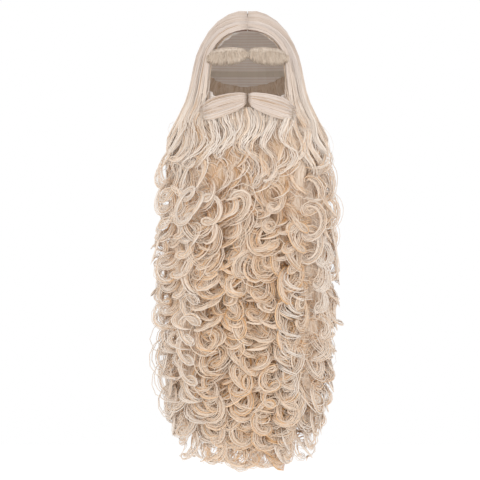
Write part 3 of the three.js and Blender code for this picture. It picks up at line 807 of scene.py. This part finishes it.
def fall_bundle(seed, wall, count, points, start, run, depth):
    """Fine strands that hang almost straight from a wall's top before they join the waves."""
    draws = Draws(seed, count, points)
    each, t, share = draws.each, draws.t, draws.row()
    level = start + each(-0.03, 0.03) + run * t * each(0.7, 1)
    clump = np.floor(share * count / FALL_CLUMP)
    azimuth = wall.azimuth(share, level)
    azimuth = azimuth + 4.2 * smoothstep(t, 0.15, 0.9) * np.sin(7.5 * t + clump * 2.4)
    azimuth = azimuth + draws.wander((1, 2), 0.8)
    sink = depth + each(0, 0.005) + 0.022 * smoothstep(t, 0.5, 1)
    paths = place(azimuth, level, look_up(outer_reach, azimuth, level) - sink)
    body = (0.7 + 0.3 * smoothstep(t, 0, 0.1)) * (1 - 0.6 * smoothstep(t, 0.85, 1))
    width = each(*FALL_WIDTH) * MM * body
    # Painted shade darkens the strands near the wall's edges.
    tint = FALL_TINT - painted_edge_shade(share) + each(-0.35, 0.12) + draws.wander((2, 4), 0.06)
    return bundle(paths, width, FLAT, level_toward(azimuth), tint)


LOOSE_POINTS = 14
LOOSE_WIDTH = (0.35, 0.55)
LOOSE_TINT = 0.5


def loose_bundle(seed, wall, count, levels, lift):
    """Single fine strands that stand a little off the curls."""
    draws = Draws(seed, count, LOOSE_POINTS)
    each, t = draws.each, draws.t
    level = each(*levels) + each(0.35, 0.9) * t
    azimuth = wall.azimuth(each(0.03, 0.97), level) + draws.wander((1, 2.5), 8.0)
    rise = each(0.3, 1) * np.sin(np.pi * (0.05 + 0.9 * t))
    reach = look_up(outer_reach, azimuth, level) - 0.004 + lift * rise
    width = each(*LOOSE_WIDTH) * MM * (0.4 + 0.6 * np.sin(np.pi * t))
    tint = LOOSE_TINT + each(-0.2, 0.3)
    return bundle(place(azimuth, level, reach), width, 0.8, level_toward(azimuth), tint)


# Combed hair over the head

CROWN_EDGE_HEIGHT = -0.19
CROWN_EDGE_LEVEL = 1.85
CROWN_EDGE_SPAN = (52.0, 180.0)  # azimuths that the combed hair's lower edge runs between
CROWN_POINTS, TAIL_POINTS = 12, 11
CROWN_CLUMPS = 17  # in each half, of strands that run together
CROWN_WIDTH = (0.7, 1.3)
COMBED_TINT = 0.66


def along_table(rows, t):
    rows = np.array(rows, float) * MM
    stations = np.linspace(0, 1, len(rows))
    return np.stack([np.interp(t, stations, rows[:, k]) for k in range(3)], -1)


def crown_guide(across, down):
    """Rough points of the wearer's left half, from the face back and from the parting down."""
    a, d = across[..., None], down[..., None]
    start, end = CROWN_EDGE_SPAN
    azimuth = start + (end - start) * across
    turn = np.radians(azimuth)
    reach = look_up(outer_reach, np.degrees(turn), np.full_like(turn, CROWN_EDGE_LEVEL))
    height = np.full_like(turn, CROWN_EDGE_HEIGHT)
    edge = np.stack([np.sin(turn) * reach, -np.cos(turn) * reach, height], -1)
    parting = along_table(PARTING, across)
    front, back = along_table(FACE_EDGE, down), along_table(BACK_SEAM, down)
    corners = (FACE_EDGE[0], PARTING[-1], FACE_EDGE[-1], BACK_SEAM[-1])
    top_front, top_back, low_front, low_back = (np.array(p, float) * MM for p in corners)
    return (
        (1 - a) * front
        + a * back
        + (1 - d) * parting
        + d * edge
        - (1 - a) * (1 - d) * top_front
        - a * (1 - d) * top_back
        - (1 - a) * d * low_front
        - a * d * low_back
    )


def crown_course(draws, across, clump, run_on):
    """Azimuths and levels down combed strands and the waves that they run on into.

    t is 0 at the parting, 1 where the waves begin and 2 where they end. fall is how many levels
    they have fallen and turn their angle.
    """
    t, shape = draws.t, (draws.count, CROWN_POINTS)
    phase = clump * 0.9
    sway = 0.006 * np.sin(7.5 * t + phase) * smoothstep(t, 0.2, 0.8)
    sway = sway + draws.wander((1.2, 2.5), 0.005) * smoothstep(t, 0.05, 0.5)
    gather = 0.2 * (clump + 0.5 - across * CROWN_CLUMPS) / CROWN_CLUMPS
    use = np.clip(across + sway + gather * smoothstep(t, 0.3, 1.0), 0.0, 1.0)
    azimuth, level = locate(crown_guide(np.broadcast_to(use, shape), np.broadcast_to(t, shape)))
    tail_t = np.linspace(0, 1, TAIL_POINTS + 1)[None, 1:]
    tail_level = level[:, -1:] + tail_t * run_on * draws.each(0.6, 1)
    fall = tail_level - level[:, -1:]
    turn = 2 * np.pi * fall + phase
    swing = 6.0 * smoothstep(fall, -0.1, 0.9)
    tail_azimuth = azimuth[:, -1:] + swing * (np.sin(turn) - np.sin(phase) * (1 - tail_t))
    azimuth = np.concatenate([azimuth, tail_azimuth], 1)
    level = np.concatenate([level, tail_level], 1)
    return azimuth, level, np.concatenate([t, 1 + tail_t], 1), fall, turn


def crown_bundle(seed, side, count, depth, run_on):
    """Combed strands of one half of the crown, running on into the waves below it."""
    draws = Draws(seed, count, CROWN_POINTS)
    each, across = draws.each, draws.row() ** 1.2
    clump = np.floor(across * CROWN_CLUMPS)
    azimuth, level, t, fall, turn = crown_course(draws, across, clump, run_on)
    lift = each(0, 1)
    parted = 0.0035 * smoothstep(across, 0.28, 0.42)
    closed = 0.0012 * (1 - smoothstep(across, 0.22, 0.38)) * (1 - smoothstep(t, 0, 0.12))
    sink = depth + 0.0035 * lift + parted * (1 - smoothstep(t, 0, 0.1))
    sink = sink + 0.016 * smoothstep(t, 1.45, 2.0) * lift
    combed = np.zeros((count, CROWN_POINTS))
    roll = np.concatenate([combed, 0.006 * np.cos(turn) * smoothstep(fall, 0, 0.7)], 1)
    outer = look_up(outer_reach, azimuth, level)
    floor = look_up(inner_reach, azimuth, level) + 0.002
    reach = outer - sink + roll - 0.006 * smoothstep(t, 1.0, 1.4)
    body = np.maximum(smoothstep(across, -0.02, 0.15) * smoothstep(t, -0.3, 0.25), t > 1.2)
    near_face = floor + 0.0045 + 0.003 * lift
    reach = np.maximum(near_face * (1 - body) + reach * body, floor)
    paths = place(azimuth, level, reach)
    paths[..., 0] = np.maximum(paths[..., 0] - closed, 0.2 * parted) * side
    facing = toward(azimuth, level)
    facing[..., 0] *= side
    taper = (0.6 + 0.4 * smoothstep(t, 0, 0.1)) * (1 - 0.7 * smoothstep(t, 1.7, 2.0))
    width = each(*CROWN_WIDTH) * MM * taper
    golden = np.where(each(0, 1) < 0.22, -0.36, 0.0)
    tint = COMBED_TINT + golden + each(-0.14, 0.12) + 0.06 * np.sin(clump * 4.1)
    # Painted shade: the deeper layer of combed strands is drawn darker.
    tint = tint - 14 * depth + wander(draws.rng, count, t.shape[1], (2, 5), 0.06)
    return bundle(paths, width, 0.45, facing, tint)


def hairline_bundle(side):
    """The dark edge of the wig over the forehead."""
    count, points, end, half_width = 3, 26, 0.4, 0.6 * MM
    t = np.broadcast_to(np.linspace(0, end, points)[None, :], (count, points))
    azimuth, level = locate(along_table(FACE_EDGE, t))
    level = level + 0.004 + 0.006 * np.arange(count)[:, None]
    paths = place(azimuth, level, look_up(inner_reach, azimuth, level) + 0.006)
    facing = toward(azimuth, level)
    paths[..., 0] *= side
    facing[..., 0] *= side
    return bundle(paths, np.full((count, points), half_width), 1.0, facing, -0.2)


# Moustache and eyebrows

# From the inner end out: stations, tops and bottoms, as shares of length and height.
WING_OUTLINE = (
    (0, 0.05, 0.2, 0.4, 0.6, 0.75, 0.9, 1),
    (0.06, 0.02, 0.0, 0.02, 0.09, 0.17, 0.33, 0.52),
    (0.38, 0.5, 0.66, 0.79, 0.91, 0.98, 1.0, 0.92),
)
BROW_OUTLINE = (
    (0, 0.06, 0.2, 0.4, 0.6, 0.8, 0.93, 1),
    (0.24, 0.1, 0.02, 0.0, 0.02, 0.1, 0.22, 0.38),
    (0.42, 0.66, 0.9, 1.0, 1.04, 1.0, 0.86, 0.66),
)
WING_ROUND, BROW_ROUND = 0.0105, 0.0075  # how far their fronts fall back towards their edges
BROW_DROP = 0.0025
WING_WIDTH, BROW_WIDTH = (0.75, 1.35), (0.55, 0.95)
WING_TINT, BROW_TINT = 0.66, 0.35


class FacePiece:
    """A moustache wing or an eyebrow, with its outline and how far forward it comes.

    Its places are shares of its length, from the inner end, and of its height, from the top.
    """

    def __init__(self, name, side, outline):
        self.side, self.outline = side, outline
        self.low, self.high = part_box(name)
        self.inner, self.outer = sorted((abs(self.low.x), abs(self.high.x)))
        tree = tree_of([name])
        stations = np.linspace(0.02, 0.98, 40)
        top, bottom = self.edges(stations)
        front = []
        for x, z in zip(side * self.x_at(stations), self.z_at((top + bottom) / 2)):
            hit = tree.ray_cast(Vector((x, -FAR, z)), Vector((0, 1, 0)))
            front.append(hit[0].y if hit[0] else np.nan)
        front = np.array(front)
        known = ~np.isnan(front)
        self.stations, self.front = stations[known], front[known]

    def edges(self, share):
        along, tops, bottoms = self.outline
        return np.interp(share, along, tops), np.interp(share, along, bottoms)

    def x_at(self, share):
        return self.inner + (self.outer - self.inner) * share

    def z_at(self, share):
        return self.high.z - (self.high.z - self.low.z) * share

    def y_at(self, share):
        return np.interp(share, self.stations, self.front)


def round_off(across):
    """How far a rounded section falls back, from -1 to 1 across it."""
    return 1 - np.sqrt(1 - 0.93 * np.clip(across, -1, 1) ** 2)


def wing_bundle(seed, side, name, count, points, depth):
    """Combed strands of one moustache wing, from its inner end out and down to its tip."""
    draws, wing = Draws(seed, count, points), FacePiece(name, side, WING_OUTLINE)
    each, t = draws.each, draws.t
    row = draws.rng.permutation(draws.row())
    s = t * (1.04 - 0.2 * each(0, 1))
    comb = row + 0.025 * np.sin(2 * np.pi * row * 5 + 3.5 * t) * smoothstep(t, 0.05, 0.4)
    top, bottom = wing.edges(s)
    z = wing.z_at(top + (bottom - top) * (0.02 + 0.96 * comb))
    across = 2 * comb - 1
    y = wing.y_at(s) + WING_ROUND * round_off(across) + depth
    y = y + 0.0022 * each(0, 1) + 0.006 * (1 - smoothstep(t, 0, 0.04))
    y = y + 0.012 * smoothstep(s, 0.9, 1.05)
    paths = np.stack([side * wing.x_at(s), y, z], -1)
    facing = np.stack([np.zeros_like(z), np.full_like(z, -1), -across], -1)
    body = (0.7 + 0.3 * smoothstep(t, 0, 0.1)) * (1 - 0.6 * smoothstep(t, 0.85, 1))
    width = each(*WING_WIDTH) * MM * body
    golden = np.where(each(0, 1) < 0.27, -0.42, 0.0)
    tint = WING_TINT + golden + each(-0.14, 0.14) + 0.1 * np.sin(row * 44)
    tint = tint + draws.wander((2, 5), 0.05)
    return bundle(paths, width, FLAT, facing, tint)


def brow_bundle(seed, side, name, count, points):
    """Short coarse fibres of one eyebrow, combed down and a little outwards."""
    draws, brow = Draws(seed, count, points), FacePiece(name, side, BROW_OUTLINE)
    each, t, share = draws.each, draws.t, draws.row()
    top, bottom = brow.edges(share)
    end = 1.02 - 0.55 * each(0, 1) ** 1.6
    start = np.maximum(end - each(0.42, 0.66), -0.02)
    run = start + (end - start) * t
    z = brow.z_at(top + (bottom - top) * run) - BROW_DROP
    fan = (share - 0.3) * 0.009 + 0.0014 * draws.rng.standard_normal((count, 1))
    x = np.clip(brow.x_at(share) + fan * t, brow.inner - 0.0008, brow.outer + 0.003)
    lift = each(0, 1)
    y = brow.y_at((x - brow.inner) / (brow.outer - brow.inner))
    y = y + BROW_ROUND * round_off(2 * run - 1) + 0.005 * (1 - smoothstep(t, 0, 0.3))
    y = y + 0.0045 * (1 - lift) - 0.0012 * np.sin(np.pi * t)
    paths = np.stack([side * x, y, z], -1)
    facing = np.zeros_like(paths)
    facing[..., 1] = -1
    body = 0.45 + 0.55 * np.sin(np.pi * np.clip(0.12 + 0.8 * t, 0, 1))
    width = each(*BROW_WIDTH) * MM * body
    # Painted shade: fibres that lie further back in the brow are darker, those in front lighter.
    tint = BROW_TINT + 0.3 * lift + each(-0.22, 0.22)
    return bundle(paths, width, 0.8, facing, tint)


# Pieces

TIP_LEVELS = (6.6, 8.5)  # between which an underlayer's tips are drawn up more and more
TIP_LIFT = 0.27
LEAST_KEPT = 0.2  # share of its thickness that an underlayer keeps at least
CURL_SIZE = 0.0165


def solid_piece(mesh, name, material):
    mesh.name = name
    mesh.materials.clear()
    mesh.materials.append(material)
    mesh.shade_smooth()
    mesh.update()
    return put_in_scene(name, mesh)


def core(node, inset, material):
    """A copy of a small CAD solid drawn in all round, under the strands that cover it."""
    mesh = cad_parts[node].data.copy()
    spots = [v.co - v.normal * inset for v in mesh.vertices]
    for vertex, spot in zip(mesh.vertices, spots):
        vertex.co = spot
    return solid_piece(mesh, node + "_core", material)


def underlayer(node, depth, material):
    """A copy of a CAD hair solid drawn in under its strands, its lower tips drawn up."""
    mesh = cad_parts[node].data.copy()
    points = np.empty(len(mesh.vertices) * 3, np.float32)
    mesh.vertices.foreach_get("co", points)
    points = points.reshape(-1, 3).astype(float)
    azimuth, level = locate(points)
    reach = reach_of(points, azimuth, level)
    inner = look_up(inner_reach, azimuth, level)
    thickness = np.maximum(look_up(outer_reach, azimuth, level) - inner, 0.001)
    keep = np.clip(1 - depth / thickness, LEAST_KEPT, 1)
    reach = np.where(reach > inner, inner + (reach - inner) * keep, reach)
    level = level - TIP_LIFT * smoothstep(level, *TIP_LEVELS)
    mesh.vertices.foreach_set("co", place(azimuth, level, reach).astype(np.float32).ravel())
    return solid_piece(mesh, node + "_underlayer", material)


def settle(piece, node):
    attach(piece, "root")
    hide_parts(node)


def build_beard():
    fall = fall_bundle(100, BEARD, 180, 12, 1.75, 0.6, 0.006)
    deep = long_plan(101, 8, 1.85, BEARD, 0.007, 0.016)
    middle = long_plan(102, 8, 1.9, BEARD, 0.0, CURL_SIZE)
    under_waves = wave_plan(106, 10, 1.74, 3.5, 0.003, 0.017)
    waves = wave_plan(107, 9, 1.72, 3.3, -0.004, 0.018)
    loose = lock_plan(103, 20, 2.9, BEARD, (1.8, 2.5), -0.006, CURL_SIZE, 0.5)
    proud = lock_plan(104, 20, 3.1, BEARD, (1.6, 2.2), -0.010, CURL_SIZE, 0.5)
    rings = lock_plan(105, 18, 3.1, BEARD, (1.1, 1.5), -0.012, 0.0145, 0.6)
    rings["pitch"] = TIGHT
    hem = hem_plan(109, 12, BEARD, -0.005, CURL_SIZE)
    parts = {
        "beard_curls_inner": [fall, *curls(BEARD, (111, deep, 6, 92, 0.3))],
        "beard_curls_middle": curls(
            BEARD,
            (112, middle, 8, 104, 0.45),
            (116, under_waves, 11, 28, 0.3),
            (117, waves, 14, 28, 0.3),
            (113, loose, 11, 54, 0.5),
        ),
        "beard_curls_outer": [
            *curls(BEARD, (114, proud, 12, 48, 0.6), (115, rings, 12, 36, 1), (119, hem, 8, 26, 1)),
            loose_bundle(108, BEARD, 40, (2.2, 7.6), 0.018),
        ],
    }
    for name, bundles in parts.items():
        settle(strand_mesh(name, bundles, BEARD_HAIR), "beard_locks")
    settle(underlayer("beard_locks", 0.019, DEEP_CURLS), "beard_locks")


def build_sides():
    for side, name in SIDES:
        node, wall = "side_locks_" + name, Wall(side_azimuth(side), side_bottom, 2.7)
        out = 0.0 if side > 0 else 0.004  # fuller on the wearer's right
        deep = long_plan(201 + side, 7, 1.4, wall, 0.005, 0.016)
        waves = wave_plan(221 + side, 10, 1.3, 3.1, -0.002, 0.018, 1)
        loose = lock_plan(204 + side, 23, 2.1, wall, (1.8, 2.5), -0.009 - out, CURL_SIZE, 0.5)
        proud = lock_plan(207 + side, 18, 2.3, wall, (1.5, 2.1), -0.013 - out, CURL_SIZE, 1)
        hem = hem_plan(231 + side, 8, wall, -0.005, 0.016)
        bundles = curls(
            wall,
            (211 + side, deep, 5, 80, 0.3),
            (224 + side, waves, 12, 22, 0.3),
            (214 + side, loose, 10, 54, 0.5),
            (217 + side, proud, 10, 44, 0.75),
            (234 + side, hem, 7, 26, 1),
        )
        bundles.append(loose_bundle(227 + side, wall, 45, (1.6, 7.4), 0.017))
        settle(strand_mesh("side_curls_" + name, bundles, HAIR), node)
        settle(underlayer(node, 0.018, DEEP_COMBED), node)


def build_back():
    deep = long_plan(301, 6, 1.4, BACK, 0.003, 0.013)
    waves = wave_plan(303, 6, 1.3, 3.1, -0.002, 0.016, 1)
    loose = lock_plan(302, 26, 2.1, BACK, (1.8, 2.5), -0.008, 0.0145)
    hem = hem_plan(315, 5, BACK, -0.006, 0.014)
    bundles = curls(
        BACK,
        (311, deep, 5, 88, 0.3),
        (313, waves, 12, 24, 0.3),
        (312, loose, 10, 50, 0.6),
        (316, hem, 8, 26, 1),
    )
    bundles.append(loose_bundle(314, BACK, 30, (1.6, 7.2), 0.014))
    settle(strand_mesh("back_curls", bundles, HAIR), "back_locks")
    settle(underlayer("back_locks", 0.012, DEEP_COMBED), "back_locks")


def build_crown():
    for side, name in SIDES:
        node = "crown_hair_" + name
        bundles = [
            crown_bundle(401 + side, side, 70, 0.003, 1.0),
            crown_bundle(404 + side, side, 420, -0.002, 1.7),
            hairline_bundle(side),
        ]
        settle(strand_mesh("crown_combed_" + name, bundles, HAIR), node)
        settle(underlayer(node, 0.0055, DEEP_COMBED), node)


def build_face_hair():
    for side, name in SIDES:
        node = "moustache_" + name
        wing = [
            wing_bundle(501 + side, side, node, 110, 11, 0.0035),
            wing_bundle(504 + side, side, node, 240, 13, 0.0),
        ]
        settle(strand_mesh("moustache_combed_" + name, wing, WING_HAIR), node)
        settle(core(node, 0.003, CORES), node)
        node = "eyebrow_" + name
        brow = [brow_bundle(601 + side, side, node, 950, 4)]
        settle(strand_mesh("eyebrow_fibres_" + name, brow, BROW_HAIR), node)
        settle(core(node, 0.002, CORES), node)


def finish_plain_nodes():
    net, band = net_material(), band_material()
    for name, material in (("wig_cap", net), ("beard_net", net), ("beard_band", band)):
        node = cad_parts[name]
        node.data.materials.clear()
        node.data.materials.append(material)


# Stage

FLOOR_HALF, FLOOR_HEIGHT = 9.0, -1.05
CAMERA_PLACE = (-0.0142, -15.2, -0.4285)
CAMERA_LENS, CAMERA_SENSOR = 600, 36  # millimetres
LIGHT_TARGET = (0, 0, -0.42)
LIGHTS = (  # name, place, size and power
    ("key", (-1.3, -2.6, 1.5), 1.2, 9),
    ("fill", (1.8, -2.4, 0.3), 1.6, 4),
    ("front", (0.1, -3.6, -0.1), 2.0, 12),
)
GAMMA = 1.2


def build_stage():
    mesh = bpy.data.meshes.new("floor")
    turns = ((-1, -1), (1, -1), (1, 1), (-1, 1))
    corners = [(FLOOR_HALF * x, FLOOR_HALF * y, FLOOR_HEIGHT) for x, y in turns]
    mesh.from_pydata(corners, [], [(0, 1, 2, 3)])
    material, _, shader = new_material("studio_floor")
    fill(shader, {"Base Color": (0.97, 0.97, 0.97, 1), "Roughness": 0.9})
    fill(shader, {"Emission Color": (1, 1, 1, 1), "Emission Strength": 0.08})
    mesh.materials.append(material)
    floor = put_in_scene("floor", mesh)


def add_light(name, location, size, power):
    data = bpy.data.lights.new(name, "AREA")
    data.size = size
    data.energy = power
    light = put_in_scene(name, data)
    light.location = location
    direction = Vector(LIGHT_TARGET) - Vector(location)
    light.rotation_euler = direction.to_track_quat("-Z", "Y").to_euler()


def build_camera():
    data = bpy.data.cameras.new("camera")
    data.lens = CAMERA_LENS
    data.sensor_width = CAMERA_SENSOR
    camera = put_in_scene("camera", data)
    camera.location = CAMERA_PLACE
    camera.rotation_euler = (np.pi / 2, 0, 0)
    bpy.context.scene.camera = camera


def light_scene():
    world = bpy.data.worlds.new("studio")
    world.use_nodes = True
    fill(world.node_tree.nodes["Background"], {"Color": (1, 1, 1, 1), "Strength": 1})
    bpy.context.scene.world = world
    for light in LIGHTS:
        add_light(*light)
    bpy.context.scene.view_settings.view_transform = "Standard"
    bpy.context.scene.view_settings.gamma = GAMMA


build_camera()
build_beard()
build_sides()
build_back()
build_crown()
build_face_hair()
finish_plain_nodes()
build_stage()
light_scene()
